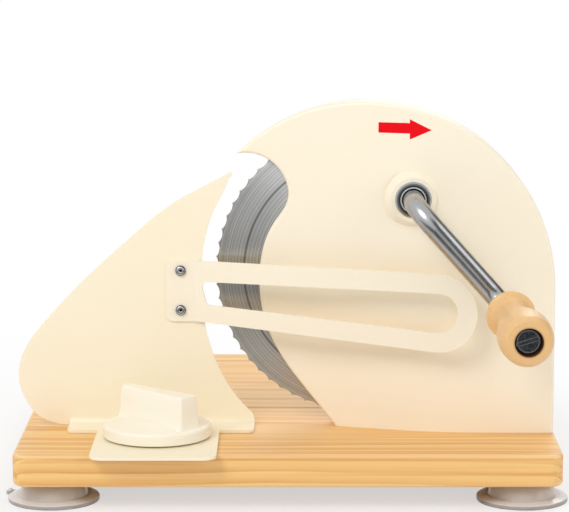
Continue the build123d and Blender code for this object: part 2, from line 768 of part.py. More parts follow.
def plate_foot():
    """The flat foot in front of the bend, and the slotted tab under the clamp knob."""
    corner = Align.MIN
    z = sliding_gap
    rear_y = plate_rear_y - plate_bend_radius - plate_thickness
    foot = Pos(foot_left_x, foot_front_y, z) * Box(
        foot_right_x - foot_left_x, rear_y - foot_front_y, plate_thickness, align=(corner, corner, corner))
    foot = fillet(foot.edges().filter_by(Axis.Z).sort_by(Axis.Y)[:2], 3.0)
    tab = Pos(knob_x, tab_front_y, z) * Box(
        tab_width, foot_front_y + 5 - tab_front_y, plate_thickness, align=(Align.CENTER, corner, corner))
    tab = fillet(tab.edges().filter_by(Axis.Z).sort_by(Axis.Y)[:2], tab_corner_radius)
    foot += tab
    slot_front = knob_y - guide_length / 2 - plate_travel_back - moving_gap
    slot_rear = knob_y + guide_length / 2 + plate_travel_front + moving_gap
    return foot - Pos(knob_x, (slot_front + slot_rear) / 2, z) * extrude(
        SlotOverall(slot_rear - slot_front, guide_width + 2 * sliding_gap, rotation=90), plate_thickness)


# ---- slice guard: a slotted loop of sheet, bent away from the plate towards the user ----
def guard_plane():
    return Plane(origin=(guard_bend_x, plate_face_y, 0), x_dir=(math.cos(guard_angle), -math.sin(guard_angle), 0),
                 z_dir=(-math.sin(guard_angle), -math.cos(guard_angle), 0))


def slice_guard():
    height = guard_top_z - guard_bottom_z
    middle = (guard_top_z + guard_bottom_z) / 2
    end = Pos(guard_end_s, guard_end_z) * Circle(guard_end_radius)
    start = Pos(0.5, middle) * Rectangle(1.0, height)
    loop = make_hull(end.edges() + start.edges())
    slot_end = Pos(guard_end_s, guard_end_z) * Circle(guard_slot_radius)
    slot_edges = slot_end.edges()
    for corner in guard_slot_root:
        slot_edges += (Pos(*corner) * Circle(guard_slot_root_radius)).edges()
    loop -= make_hull(slot_edges)
    guard = extrude(guard_plane() * loop, guard_thickness)
    root = Pos(guard_bend_x - guard_root_length / 2, middle) * Rectangle(guard_root_length, height)
    root = fillet(root.vertices().sort_by(Axis.X)[:2], guard_corner_radius)
    guard += slab(root, plate_face_y - guard_thickness, plate_face_y)
    for z in guard_screw_z:
        guard -= round_bar(guard_screw_x, z, plate_face_y - 5, plate_face_y + 1, guard_screw_radius + screw_fit)
    return guard


def guard_screw(z):
    seat = plate_face_y - guard_thickness
    shank = round_bar(guard_screw_x, z, seat, plate_rear_y, guard_screw_radius)
    head = round_bar(guard_screw_x, z, seat - guard_screw_head_height, seat, guard_screw_head_radius)
    head = fillet(head.edges().filter_by(GeomType.CIRCLE).sort_by(Axis.Y)[0], 1.2)
    socket = round_bar(guard_screw_x, z, seat - guard_screw_head_height - 1, seat - 0.8, 1.2)
    return head + shank - socket


def guard_nut(z):
    return sleeve(guard_screw_x, z, plate_face_y, plate_rear_y, guard_nut_radius, guard_screw_radius + screw_fit)


# ---- clamp knob, its stud, washer and the guide that keeps the plate square ----
knob_base_z = sliding_gap + plate_thickness + clamp_washer_thickness + 2 * face_gap


def wing_section(z, flare):
    """The wing cut level: narrow at the tail, wide at the nose, wider all round by the flare."""
    half = wing_length / 2 + flare * 0.6
    tail = wing_tail_width / 2 + flare
    nose = wing_nose_width / 2 + flare
    outline = make_face(Polyline((-half, -tail), (half, -nose), (half, nose), (-half, tail), close=True))
    return (Pos(0, 0, z) * fillet(outline.vertices(), wing_edge_radius + flare * 0.5)).faces()[0]


def clamp_knob():
    with BuildPart() as disc:
        with BuildSketch(Plane.XZ):
            with BuildLine():
                top = knob_disc_height + knob_dome_height
                Line((0, 0), (knob_radius - 0.5, 0))
                Line((knob_radius - 0.5, 0), (knob_radius, 0.5))
                Line((knob_radius, 0.5), (knob_radius, knob_disc_height - 2.0))
                ThreePointArc((knob_radius, knob_disc_height - 2.0),
                              (knob_radius - 0.7, knob_disc_height - 0.6), (knob_radius - 2.4, knob_disc_height))
                Line((knob_radius - 2.4, knob_disc_height), (wing_nose_width, top))
                Line((wing_nose_width, top), (0, top))
                Line((0, top), (0, 0))
            make_face()
        revolve(axis=Axis.Z)
    foot_z = knob_disc_height - 3.5
    levels = ((foot_z, wing_flare), (foot_z + wing_flare_height * 0.45, wing_flare * 0.55),
              (foot_z + wing_flare_height * 1.4, wing_flare * 0.26), (knob_height, 0.0))
    wing = loft([wing_section(z, flare) for z, flare in levels])
    wing = fillet(wing.faces().sort_by(Axis.Z)[-1].edges(), wing_edge_radius)
    knob = disc.part + Rot(0, 0, wing_angle) * wing
    knob -= upright(0, 0, -1, stud_in_knob + moving_gap, stud_radius + running_fit)
    return Pos(knob_x, knob_y, knob_base_z) * knob


def clamp_washer():
    low = sliding_gap + plate_thickness + face_gap
    return upright(knob_x, knob_y, low, low + clamp_washer_thickness, clamp_washer_radius) - upright(
        knob_x, knob_y, low - 1, low + clamp_washer_thickness + 1, stud_radius + running_fit)


def clamp_stud():
    bottom = -board_thickness
    head = upright(knob_x, knob_y, bottom, bottom + stud_head_height, stud_head_radius)
    head = chamfer(head.edges().filter_by(GeomType.CIRCLE).sort_by(Axis.Z)[0], 0.8)
    return head + upright(knob_x, knob_y, bottom + stud_head_height, knob_base_z + stud_in_knob, stud_radius)


def slide_guide():
    block = Pos(knob_x, knob_y, 0) * extrude(SlotOverall(guide_length, guide_width, rotation=90), guide_height)
    return block - upright(knob_x, knob_y, -1, guide_height + 1, stud_radius + running_fit)


# ---- all pieces by node name ----
pieces = {
    "base_board": [base_board()],
    "feed_table": [feed_table()],
    "base_hinge_leaves": [hinge_leaf(x, -1) for x in (-hinge_x, hinge_x)],
    "table_hinge_leaves": [hinge_leaf(x, 1) for x in (-hinge_x, hinge_x)],
    "hinge_pins": [hinge_pin(x) for x in (-hinge_x, hinge_x)],
    "base_hinge_screws": [leaf_screw(*p) for x in (-hinge_x, hinge_x) for p in leaf_screw_places(x, -1)],
    "table_hinge_screws": [leaf_screw(*p) for x in (-hinge_x, hinge_x) for p in leaf_screw_places(x, 1)],
    "base_cup_studs": [cup_stud(x, y) for x, y, turn in base_cup_places().values()],
    "table_cup_studs": [cup_stud(x, y) for x, y, turn in table_cup_places().values()],
    "housing_shell": [housing_shell()],
    "back_plate": [back_plate()],
    "back_plate_screws": [cover_screw(x, z) for x, z in cover_screw_places()],
    "housing_screws": [foot_screw(x, y) for x, y in foot_screw_places()],
    "slicing_blade": [slicing_blade()],
    "blade_axle": [blade_axle()],
    "blade_bush": [flanged_bush(blade_x, blade_z, axle_radius)],
    "blade_gear": [blade_gear()],
    "blade_clip": [clip(blade_x, blade_z, gear_front_y - clip_thickness, axle_radius)],
    "blade_washer": [blade_washer()],
    "blade_screw": [blade_screw()],
    "crank_rod": [crank_rod()],
    "crank_gear": [crank_gear()],
    "crank_front_bush": [crank_bush()],
    "crank_rear_bush": [flanged_bush(hub_x, hub_z, rod_radius)],
    "crank_clip": [clip(hub_x, hub_z, crank_clip_y(), rod_radius)],
    "handle_grip": [handle_grip()],
    "handle_washer": [grip_washer()],
    "handle_screw": [grip_screw()],
    "thickness_plate": [thickness_plate()],
    "plate_foot": [plate_foot()],
    "slice_guard": [slice_guard()],
    "guard_screws": [guard_screw(z) for z in guard_screw_z],
    "guard_nuts": [guard_nut(z) for z in guard_screw_z],
    "clamp_knob": [clamp_knob()],
    "clamp_washer": [clamp_washer()],
    "clamp_stud": [clamp_stud()],
    "slide_guide": [slide_guide()],
}
for name, (x, y, turn) in {**base_cup_places(), **table_cup_places()}.items():
    pieces[name] = [suction_cup(x, y, turn)]

# ---- the origin goes under the middle of the footprint, on the plane that the cups stand on ----
lean_angle = math.radians(pin_lean)
grip_reach = crank_arm_y - grip_start_y + grip_length
footprint_front_y = crank_arm_y - grip_reach * math.cos(lean_angle) - grip_end_radius * math.sin(lean_angle)
footprint_mid_y = (footprint_front_y + table_rear_y) / 2
floor_z = -board_thickness - cup_height
to_origin = (0.0, -footprint_mid_y, -floor_z)


def place(solids):
    moved = [Pos(*to_origin) * solid for solid in solids]
    return moved[0] if len(moved) == 1 else Compound(children=moved)


for name, solids in pieces.items():
    export_step(place(solids), "parts/" + name + ".step")
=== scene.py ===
import math

import bmesh
import bpy
from mathutils import Matrix, Vector
from mathutils.bvhtree import BVHTree


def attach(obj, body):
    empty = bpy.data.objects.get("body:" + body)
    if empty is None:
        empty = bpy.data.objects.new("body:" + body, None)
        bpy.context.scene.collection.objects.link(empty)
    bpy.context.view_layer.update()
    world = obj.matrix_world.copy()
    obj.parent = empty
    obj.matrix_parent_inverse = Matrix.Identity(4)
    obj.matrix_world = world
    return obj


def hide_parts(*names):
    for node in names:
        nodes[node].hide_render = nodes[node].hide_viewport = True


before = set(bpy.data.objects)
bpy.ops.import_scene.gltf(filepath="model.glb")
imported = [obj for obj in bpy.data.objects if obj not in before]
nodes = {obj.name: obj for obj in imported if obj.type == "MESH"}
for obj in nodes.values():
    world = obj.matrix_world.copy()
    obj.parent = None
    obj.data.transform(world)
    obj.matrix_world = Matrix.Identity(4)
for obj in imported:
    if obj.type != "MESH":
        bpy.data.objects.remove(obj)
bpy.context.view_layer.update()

scene = bpy.context.scene
scene.view_settings.view_transform = "Standard"

# ---- Camera ----
# A long lens in front of the slicer, a little above the top of the housing and tilted down on
# the board, at the photograph's own viewing angle.
camera = bpy.data.objects.new("camera", bpy.data.cameras.new("camera"))
scene.collection.objects.link(camera)
camera.data.sensor_width = 36.0
camera.data.lens = 158.2
camera.data.shift_x = -0.02197
camera.data.clip_end = 20.0
camera.location = (0.0058, -1.65864, 0.4160)
camera.rotation_euler = (math.radians(80.69), 0.0, 0.0)
scene.camera = camera

# ---- Studio floor and light ----
# A plain white table top under the suction cups that fades into a white surround, one large soft
# lamp high on the left, a weaker one on the right and one behind that draws the top edges.


def seen_directly(tree):
    """1 for the rays of the camera, of mirrors and of clear pieces, 0 for those that shade."""
    path = tree.nodes.new("ShaderNodeLightPath")
    seen = path.outputs["Is Camera Ray"]
    for kind in ("Is Glossy Ray", "Is Transmission Ray"):
        either = tree.nodes.new("ShaderNodeMath")
        either.operation = "MAXIMUM"
        tree.links.new(seen, either.inputs[0])
        tree.links.new(path.outputs[kind], either.inputs[1])
        seen = either.outputs[0]
    return seen


floor_form = bmesh.new()
bmesh.ops.create_grid(floor_form, x_segments=2, y_segments=2, size=8.0)
floor_mesh = bpy.data.meshes.new("studio_floor")
floor_form.to_mesh(floor_mesh)
floor_form.free()
studio_floor = bpy.data.objects.new("studio_floor", floor_mesh)
scene.collection.objects.link(studio_floor)
floor_paint = bpy.data.materials.new("studio_floor_paint")
floor_paint.use_nodes = True
floor_nodes = floor_paint.node_tree.nodes
floor_links = floor_paint.node_tree.links
floor_shader = floor_nodes["Principled BSDF"]
floor_shader.inputs["Base Color"].default_value = (0.90, 0.90, 0.90, 1)
floor_shader.inputs["Roughness"].default_value = 0.6
floor_place = floor_nodes.new("ShaderNodeTexCoord")
floor_distance = floor_nodes.new("ShaderNodeVectorMath")
floor_distance.operation = "LENGTH"
floor_fade = floor_nodes.new("ShaderNodeMapRange")
floor_fade.interpolation_type = "SMOOTHSTEP"
floor_fade.inputs["From Min"].default_value = 0.16
floor_fade.inputs["From Max"].default_value = 0.62
floor_fade.inputs["To Min"].default_value = 0.58
floor_share = floor_nodes.new("ShaderNodeMath")
floor_share.operation = "MULTIPLY"
floor_white = floor_nodes.new("ShaderNodeEmission")
floor_blend = floor_nodes.new("ShaderNodeMixShader")
floor_links.new(floor_place.outputs["Object"], floor_distance.inputs[0])
floor_links.new(floor_distance.outputs["Value"], floor_fade.inputs["Value"])
floor_links.new(floor_fade.outputs["Result"], floor_share.inputs[0])
floor_links.new(seen_directly(floor_paint.node_tree), floor_share.inputs[1])
floor_links.new(floor_share.outputs[0], floor_blend.inputs["Fac"])
floor_links.new(floor_shader.outputs["BSDF"], floor_blend.inputs[1])
floor_links.new(floor_white.outputs["Emission"], floor_blend.inputs[2])
floor_links.new(floor_blend.outputs["Shader"], floor_nodes["Material Output"].inputs["Surface"])
floor_mesh.materials.append(floor_paint)

surround = bpy.data.worlds.new("studio_surround")
surround.use_nodes = True
scene.world = surround
sky = surround.node_tree.nodes["Background"]
sky.inputs["Color"].default_value = (1.0, 1.0, 1.0, 1)
sky_level = surround.node_tree.nodes.new("ShaderNodeMapRange")
sky_level.inputs["To Min"].default_value = 0.62
sky_level.inputs["To Max"].default_value = 1.0
surround.node_tree.links.new(seen_directly(surround.node_tree), sky_level.inputs["Value"])
surround.node_tree.links.new(sky_level.outputs["Result"], sky.inputs["Strength"])


def aim(place, target):
    return (Vector(target) - Vector(place)).to_track_quat("-Z", "Y").to_euler()


def soft_lamp(name, place, target, size, watts):
    lamp = bpy.data.objects.new(name, bpy.data.lights.new(name, "AREA"))
    lamp.data.size = size
    lamp.data.energy = watts
    lamp.location = place
    lamp.rotation_euler = aim(place, target)
    scene.collection.objects.link(lamp)


soft_lamp("key_lamp", (-1.1, -1.5, 1.7), (0.0, 0.0, 0.10), 1.0, 22.0)
soft_lamp("fill_lamp", (1.6, -1.2, 0.9), (0.0, 0.0, 0.10), 1.4, 7.5)
soft_lamp("rear_lamp", (0.6, 1.7, 1.5), (0.0, 0.0, 0.15), 1.2, 12.0)

# ---- Base board and feed table ----
# Two pine boards, planed, with their edges rounded over and a satin lacquer. The grain runs
# along the length, and each board is cut from its own place in the log.


class Finish:
    """A material that is being mixed: its nodes, and short ways to add and join them."""

    def __init__(self, name):
        self.material = bpy.data.materials.new(name)
        self.material.use_nodes = True
        self.tree = self.material.node_tree
        self.shader = self.tree.nodes["Principled BSDF"]
        self.place = self.tree.nodes.new("ShaderNodeTexCoord").outputs["Object"]

    def join(self, value, socket):
        if isinstance(value, bpy.types.NodeSocket):
            self.tree.links.new(value, socket)
        else:
            socket.default_value = value

    def sum(self, operation, *values):
        node = self.tree.nodes.new("ShaderNodeMath")
        node.operation = operation
        for value, socket in zip(values, node.inputs):
            self.join(value, socket)
        return node.outputs[0]

    def noise(self, stretch, detail=2.0, rough=0.5, source=None):
        """Soft noise with so many swells per metre, along each axis or the same along all."""
        pull = self.tree.nodes.new("ShaderNodeMapping")
        pull.inputs["Scale"].default_value = stretch if isinstance(stretch, tuple) else (stretch,) * 3
        self.join(source or self.place, pull.inputs["Vector"])
        noise = self.tree.nodes.new("ShaderNodeTexNoise")
        noise.inputs["Scale"].default_value = 1.0
        noise.inputs["Detail"].default_value = detail
        noise.inputs["Roughness"].default_value = rough
        self.tree.links.new(pull.outputs["Vector"], noise.inputs["Vector"])
        return noise.outputs["Fac"]

    def ramp(self, value, *marks):
        """Colours or levels along a value, from pairs of place and colour."""
        node = self.tree.nodes.new("ShaderNodeValToRGB")
        band = node.color_ramp
        band.elements.remove(band.elements[-1])
        band.elements[0].position = marks[0][0]
        band.elements[0].color = paint(marks[0][1])
        for position, colour in marks[1:]:
            band.elements.new(position).color = paint(colour)
        self.join(value, node.inputs["Fac"])
        return node.outputs["Color"]

    def mix(self, share, first, second, blend="MIX"):
        node = self.tree.nodes.new("ShaderNodeMix")
        node.data_type = "RGBA"
        node.blend_type = blend
        self.join(share, node.inputs["Factor"])
        self.join(first if isinstance(first, bpy.types.NodeSocket) else paint(first), node.inputs["A"])
        self.join(second if isinstance(second, bpy.types.NodeSocket) else paint(second), node.inputs["B"])
        return node.outputs["Result"]

    def between(self, value, low, high):
        """A value of 0 to 1 spread between two levels."""
        return self.sum("MULTIPLY_ADD", value, high - low, low)

    def bump(self, height, depth, strength=1.0, under=None):
        node = self.tree.nodes.new("ShaderNodeBump")
        node.inputs["Distance"].default_value = depth
        node.inputs["Strength"].default_value = strength
        self.join(height, node.inputs["Height"])
        if under:
            self.join(under, node.inputs["Normal"])
        return node.outputs["Normal"]

    def reach(self, centre, axis=(0.0, 1.0, 0.0)):
        """Distance in metres from an axis, for what is turned on a lathe."""
        offset = self.tree.nodes.new("ShaderNodeVectorMath")
        offset.operation = "SUBTRACT"
        offset.inputs[1].default_value = centre
        self.join(self.place, offset.inputs[0])
        across = self.tree.nodes.new("ShaderNodeVectorMath")
        across.operation = "CROSS_PRODUCT"
        across.inputs[1].default_value = axis
        self.join(offset.outputs[0], across.inputs[0])
        length = self.tree.nodes.new("ShaderNodeVectorMath")
        length.operation = "LENGTH"
        self.join(across.outputs[0], length.inputs[0])
        return length.outputs["Value"]

    def set(self, **values):
        for name, value in values.items():
            self.join(value, self.shader.inputs[name.replace("_", " ")])


def paint(colour):
    """A paint code as linear light; a number is a grey level."""
    if isinstance(colour, str):
        values = [int(colour[index:index + 2], 16) / 255 for index in (1, 3, 5)]
        values = [v / 12.92 if v <= 0.04045 else ((v + 0.055) / 1.055) ** 2.4 for v in values]
    else:
        values = [colour] * 3
    return (*values, 1.0)


def dress(finish, *names, edge=0.0):
    """Gives CAD pieces their finish; edge is how far their sharp edges are broken, in metres."""
    for name in names:
        piece = nodes[name]
        piece.data.materials.clear()
        piece.data.materials.append(finish.material)
        for polygon in piece.data.polygons:
            polygon.material_index = 0
        if edge:
            weld = piece.modifiers.new("weld", "WELD")
            weld.merge_threshold = 5e-6
            bevel = piece.modifiers.new("broken_edge", "BEVEL")
            bevel.width = edge
            bevel.segments = 2
            bevel.limit_method = "ANGLE"
            bevel.angle_limit = math.radians(50)
            bevel.harden_normals = True


def log_rings(finish, heart, tilt, ring_width, wander):
    """Year rings of a log that runs along X and whose heart lies off the board."""
    log = finish.tree.nodes.new("ShaderNodeMapping")
    log.inputs["Location"].default_value = heart
    log.inputs["Rotation"].default_value = tilt
    finish.join(finish.place, log.inputs["Vector"])
    split = finish.tree.nodes.new("ShaderNodeSeparateXYZ")
    finish.join(log.outputs["Vector"], split.inputs["Vector"])
    square = finish.sum("ADD", finish.sum("POWER", finish.sum("ABSOLUTE", split.outputs["Y"]), 2.0),
                        finish.sum("POWER", finish.sum("ABSOLUTE", split.outputs["Z"]), 2.0))
    radius = finish.sum("SQRT", square)
    radius = finish.sum("MULTIPLY_ADD", finish.noise((3.0, 14.0, 14.0), 2.0), wander, radius)
    radius = finish.sum("MULTIPLY_ADD", finish.noise((14.0, 90.0, 90.0), 2.0), wander * 0.10, radius)
    return finish.sum("FRACT", finish.sum("DIVIDE", radius, ring_width))


def board_finish(name, heart, tilt, ring_width):
    """Lacquered pine: year rings, calm wood between them, dark and amber streaks, fine fibre, and a painted
    highlight on the rounded edges.
    """
    board = Finish(name)
    rings = log_rings(board, heart, tilt, ring_width, 0.012)
    wood = board.ramp(rings, (0.0, "#F9D08B"), (0.40, "#F4C67E"), (0.74, "#EAB567"),
                      (0.90, "#DCA04F"), (0.96, "#E9B469"), (1.0, "#F9D08B"))
    calm = board.ramp(board.noise((2.5, 75.0, 75.0), 3.0, 0.6),
                      (0.0, 0.0), (0.38, 0.05), (0.55, 0.62), (1.0, 0.9))
    wood = board.mix(calm, wood, "#F5C982")
    streak = board.ramp(board.noise((7.0, 330.0, 330.0), 2.0), (0.0, 1.0), (0.30, 1.0), (0.42, 0.0))
    wood = board.mix(board.sum("MULTIPLY", streak, 0.30), wood, "#D99B49")
    amber = board.ramp(board.noise((1.6, 190.0, 190.0), 2.0),
                       (0.0, 0.0), (0.53, 0.0), (0.60, 0.50), (0.70, 0.72))
    wood = board.mix(amber, wood, "#DFA04D")
    fibre = board.noise((22.0, 1100.0, 1100.0), 3.0, 0.6)
    wood = board.mix(board.between(fibre, 0.0, 0.22), wood, "#DDA95F", "MULTIPLY")
    # The rounded edges are painted lighter by their slant: a painted highlight where the fillets catch the
    # light.
    facing = board.tree.nodes.new("ShaderNodeSeparateXYZ")
    board.join(board.tree.nodes.new("ShaderNodeTexCoord").outputs["Normal"], facing.inputs["Vector"])
    sideways = board.sum("ADD", board.sum("ABSOLUTE", facing.outputs["X"]),
                         board.sum("ABSOLUTE", facing.outputs["Y"]))
    painted_edge_highlight = board.sum("MULTIPLY", sideways, board.sum("ABSOLUTE", facing.outputs["Z"]))
    wood = board.mix(board.sum("MULTIPLY", painted_edge_highlight, 0.62), wood, "#FCE3B6")
    board.set(Base_Color=wood, Roughness=board.between(fibre, 0.40, 0.56),
              Coat_Weight=0.18, Coat_Roughness=0.30,
              Normal=board.bump(fibre, 0.00008, 0.4, board.bump(rings, 0.00004, 0.4)))
    return board


dress(board_finish("base_pine", (0.0, 0.055, -0.105), (0.010, 0.012, 0.035), 0.0062), "base_board")
dress(board_finish("table_pine", (0.0, -0.120, -0.150), (0.0, -0.015, 0.030), 0.0070), "feed_table")

# ---- Housing and thickness plate ----
# Pressed steel sheet with a warm cream baked enamel. The enamel is a little thicker and
# glossier than paint, with a faint orange-peel ripple.


def enamel_finish(name, colour, shade):
    enamel = Finish(name)
    cloud = enamel.noise(9.0, 3.0)
    ripple = enamel.noise(420.0, 2.0)
    speck = enamel.noise(2600.0, 1.0)
    enamel.set(Base_Color=enamel.mix(cloud, colour, shade),
               Roughness=enamel.between(cloud, 0.36, 0.44), Coat_Weight=0.12, Coat_Roughness=0.22,
               Normal=enamel.bump(speck, 0.00002, 0.25, enamel.bump(ripple, 0.00005, 0.35)))
    return enamel


dress(enamel_finish("cream_enamel", "#FAF0DB", "#F8EDD5"), "housing_shell")
dress(enamel_finish("plate_enamel", "#FAEFD6", "#F8ECCF"), "thickness_plate", "plate_foot", edge=0.0004)

# ---- Slice guard ----
# A loop of thin steel sheet, cut out, bent once and enamelled like the plate that it is
# screwed to, a shade lighter.
dress(enamel_finish("guard_enamel", "#F9EFDA", "#F7ECD4"), "slice_guard", edge=0.0003)

# ---- Slicing blade ----
# Stainless steel, ground in rings on a lathe, with a wide bevel that is honed along the scalloped teeth.
# A thin dark ring is painted where the bevel starts, as painted shade along its crease.
blade_centre = (0.0477, -0.02194, 0.1379)
blade_steel = Finish("blade_steel")
blade_reach = blade_steel.reach(blade_centre)
ring_line = blade_steel.tree.nodes.new("ShaderNodeCombineXYZ")
blade_steel.join(blade_reach, ring_line.inputs["X"])
grinding = blade_steel.noise((1500.0, 1.0, 1.0), 3.0, 0.75, ring_line.outputs[0])
broad = blade_steel.noise((330.0, 1.0, 1.0), 2.0, 0.6, ring_line.outputs[0])
ground_steel = blade_steel.ramp(grinding, (0.30, "#4C4D4D"), (0.43, "#9C9D9D"), (0.55, "#D6D7D7"),
                                (0.68, "#FFFFFF"))
ground_steel = blade_steel.mix(blade_steel.between(broad, 0.0, 0.25), ground_steel, "#BFC0C0")
# A thin ring of painted shade where the bevel starts.
bevel_crease_shade = blade_steel.ramp(blade_steel.sum("MULTIPLY", blade_reach, 10.0),
                          (0.0, 0.0), (0.764, 0.0), (0.768, 1.0), (0.774, 1.0), (0.778, 0.0))
ground_steel = blade_steel.mix(blade_steel.sum("MULTIPLY", bevel_crease_shade, 0.75), ground_steel, "#3B3C3C")
around = blade_steel.tree.nodes.new("ShaderNodeTangent")
around.direction_type = "RADIAL"
around.axis = "Y"
blade_steel.set(Base_Color=ground_steel, Metallic=1.0,
                Roughness=blade_steel.between(grinding, 0.36, 0.46), Anisotropic=0.85,
                Anisotropic_Rotation=0.25, Tangent=around.outputs[0],
                Normal=blade_steel.bump(grinding, 0.00008, 0.5))
dress(blade_steel, "slicing_blade")

# ---- Crank rod ----
# Round steel bar, bent cold in two places and polished along its length. Three dark studio
# screens stand out of view, where only reflections find them, so that the polish shows.


def bright_steel(name, smoothest, roughest, colours, grain):
    steel = Finish(name)
    polish = steel.noise(grain, 3.0, 0.6)
    haze = steel.noise(40.0, 2.0)
    steel.set(Base_Color=steel.mix(haze, *colours), Metallic=1.0,
              Roughness=steel.between(polish, smoothest, roughest),
              Normal=steel.bump(polish, 0.00001, 0.3))
    return steel


def dark_screen(name, place, target, width, height):
    form = bmesh.new()
    bmesh.ops.create_grid(form, x_segments=1, y_segments=1, size=0.5)
    bmesh.ops.scale(form, vec=(width, height, 1.0), verts=form.verts)
    mesh = bpy.data.meshes.new(name)
    form.to_mesh(mesh)
    form.free()
    mesh.materials.append(screen_cloth)
    screen = bpy.data.objects.new(name, mesh)
    screen.location = place
    screen.rotation_euler = aim(place, target)
    screen.visible_camera = False
    screen.visible_diffuse = False
    screen.visible_shadow = False
    screen.visible_transmission = False
    scene.collection.objects.link(screen)


screen_cloth = bpy.data.materials.new("screen_cloth")
screen_cloth.use_nodes = True
cloth_shader = screen_cloth.node_tree.nodes["Principled BSDF"]
cloth_shader.inputs["Base Color"].default_value = (0.012, 0.012, 0.012, 1)
cloth_shader.inputs["Roughness"].default_value = 0.9
rod_middle = (0.11, -0.09, 0.16)
dark_screen("right_screen", (0.78, -1.05, 0.55), rod_middle, 0.80, 1.3)
dark_screen("rear_right_screen", (0.95, 0.55, 0.75), rod_middle, 1.1, 1.1)
dark_screen("floor_screen", (-0.25, -0.70, 0.012), (-0.25, -0.70, 1.0), 1.3, 0.80)

dress(bright_steel("polished_steel", 0.24, 0.34, ("#A3A4A5", "#B8B9BA"), 400.0),
      "crank_rod", "blade_washer", "blade_screw")

# ---- Front bush of the crank ----
# A turned and plated sleeve pressed into the boss of the housing. Its colour is painted in rings
# around the rod: painted shade in the gap at the rod, a painted highlight on the lip, painted
# shade in a groove outside it, then growing lighter outwards.
crank_centre = (0.0811, 0.0, 0.19013)
bush_steel = Finish("bush_steel")
bush_turning = bush_steel.noise(700.0, 2.0)
# Rings of painted shade and painted highlight around the rod.
bush_painted_light_rings = bush_steel.ramp(bush_steel.sum("MULTIPLY", bush_steel.reach(crank_centre), 70.0),
                             (0.0, "#2C2D2E"), (0.505, "#2C2D2E"), (0.525, "#F0F0F0"), (0.575, "#F4F4F4"),
                             (0.60, "#2E2F30"), (0.66, "#4C4D4F"), (0.72, "#808182"), (0.79, "#AFB0B1"))
bush_steel.set(Base_Color=bush_painted_light_rings, Metallic=1.0,
               Roughness=bush_steel.between(bush_turning, 0.18, 0.30),
               Normal=bush_steel.bump(bush_turning, 0.00001, 0.3))
dress(bush_steel, "crank_front_bush")

# ---- Guard screws ----
# Two small round-headed screws with a socket, turned and nickel plated, that hold the guard to
# the plate. Their heads are painted in rings: painted shade in the socket and around the rim, and
# a painted highlight on the dome.
lower_screw_centre = (-0.0708, 0.0, 0.1140)
upper_screw_centre = (-0.0708, 0.0, 0.1404)
guard_screw_steel = Finish("guard_screw_steel")
guard_screw_turning = guard_screw_steel.noise(1800.0, 2.0)
head_reach = guard_screw_steel.sum("MINIMUM", guard_screw_steel.reach(lower_screw_centre),
                                   guard_screw_steel.reach(upper_screw_centre))
# Painted shade in the socket and at the rim, a painted highlight on the dome between.
head_painted_light_rings = guard_screw_steel.ramp(guard_screw_steel.sum("MULTIPLY", head_reach, 200.0),
                                    (0.0, "#1E1E1F"), (0.15, "#262627"), (0.22, "#F4F4F4"), (0.50, "#DEDEDF"),
                                    (0.60, "#5A5A5C"), (0.66, "#2B2B2C"))
guard_screw_steel.set(Base_Color=head_painted_light_rings, Metallic=1.0,
                      Roughness=guard_screw_steel.between(guard_screw_turning, 0.14, 0.24))
dress(guard_screw_steel, "guard_screws")

# ---- Back plate, hinges and hidden hardware ----
# Zinc-plated sheet and screws, dull silver with the faint clouds that plating leaves. The
# gears are oiled dark steel, and the bushes that carry their shafts are bronze.
zinc_plate = bright_steel("zinc_plate", 0.34, 0.5, ("#A6A8AA", "#BBBCBE"), 90.0)
dress(zinc_plate, "back_plate", "back_plate_screws", "housing_screws", "base_hinge_leaves",
      "table_hinge_leaves", "hinge_pins", "base_hinge_screws", "table_hinge_screws", "base_cup_studs",
      "table_cup_studs", "clamp_stud", "clamp_washer", "blade_clip", "crank_clip", "handle_washer",
      "guard_nuts", "blade_axle")
dress(bright_steel("dark_steel", 0.32, 0.48, ("#4A4A4B", "#5E5E60"), 300.0),
      "blade_gear", "crank_gear")
dress(bright_steel("bronze", 0.4, 0.6, ("#9C7A45", "#AE8A52"), 500.0),
      "blade_bush", "crank_rear_bush")

# ---- Handle grip ----
# Beech, turned between centres and lacquered. The fibres run along the grip with short dark
# flecks. The bore for the screw is drilled, and the wood around it is painted dark brown, partly as
# scorching and partly as painted shade inside the bore.
grip_bore = (0.14372, -0.19635, 0.12458)
grip_axis = (-0.04013, 0.99919, 0.0)
beech = Finish("beech")
grip_fibre = beech.noise((500.0, 14.0, 500.0), 3.0, 0.6)
grip_flecks = beech.ramp(beech.noise((1500.0, 160.0, 1500.0), 1.0),
                         (0.0, 1.0), (0.28, 1.0), (0.34, 0.0))
grip_cloud = beech.noise((40.0, 9.0, 40.0), 2.0)
timber = beech.mix(grip_cloud, "#E5B77A", "#F0C88F")
timber = beech.mix(beech.sum("MULTIPLY", grip_fibre, 0.32), timber, "#CE9552")
timber = beech.mix(beech.sum("MULTIPLY", grip_flecks, 0.30), timber, "#AE7A42")
# Dark brown around the bore: partly scorched wood, partly painted shade inside the bore.
bore_shade_and_scorch = beech.ramp(beech.sum("MULTIPLY", beech.reach(grip_bore, grip_axis), 50.0),
                       (0.0, 1.0), (0.432, 1.0), (0.446, 0.45), (0.49, 0.0))
timber = beech.mix(bore_shade_and_scorch, timber, "#5E3413")
turned = beech.noise((0.0, 1400.0, 0.0), 2.0)
beech.set(Base_Color=timber, Roughness=beech.between(grip_fibre, 0.34, 0.5),
          Coat_Weight=0.22, Coat_Roughness=0.22,
          Normal=beech.bump(grip_fibre, 0.00008, 0.4, beech.bump(turned, 0.00003, 0.3)))
dress(beech, "handle_grip")
